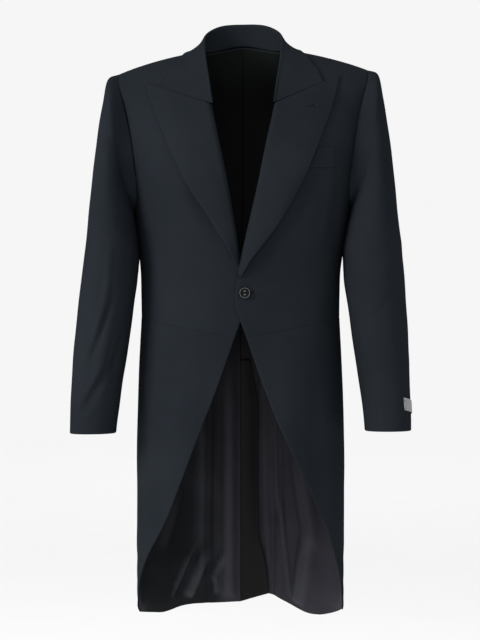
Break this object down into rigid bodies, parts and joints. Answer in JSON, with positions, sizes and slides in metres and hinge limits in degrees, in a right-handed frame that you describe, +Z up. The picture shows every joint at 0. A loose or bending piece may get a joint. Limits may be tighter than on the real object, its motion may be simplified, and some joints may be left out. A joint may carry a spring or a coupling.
{
  "type": "morning coat",
  "caption": "Morning coat, worn and hollow: peaked lapels, cutaway skirts running into long tails, straight sleeves, dark wool with satin-lined tails.",
  "frame": {"origin": "on the centre line at the height of the neck points, where the shoulder seams meet the collar: where the wearer's shoulders carry the coat", "axes": "+Z up, the wearer faces -Y, +X is the wearer's left"},
  "size_m": [0.6026, 0.2786, 1.0852],
  "materials": {
    "cloth": "very dark navy, nearly black worsted wool in a fine twill, matt with a faint sheen",
    "lining": "dark plum-grey satin lining",
    "button": "black horn-like button, satin",
    "label": "plain grey woven ribbon"
  },
  "bodies": {
    "root": {"forepart_left": "cloth", "forepart_right": "cloth", "lapel_left": "cloth", "lapel_right": "cloth", "side_body_left": "cloth", "side_body_right": "cloth", "back_left": "cloth", "back_right": "cloth", "skirt_left": "cloth", "skirt_right": "cloth", "top_sleeve_left": "cloth", "top_sleeve_right": "cloth", "under_sleeve_left": "cloth", "under_sleeve_right": "cloth", "collar": "cloth", "back_lining_left": "lining", "back_lining_right": "lining", "skirt_lining_left": "lining", "skirt_lining_right": "lining", "tail_lining_left": "lining", "tail_lining_right": "lining", "breast_welt": "cloth", "front_button": "button", "back_button_left": "button", "back_button_right": "button", "cuff_label": "label"}
  },
  "joints": []
}
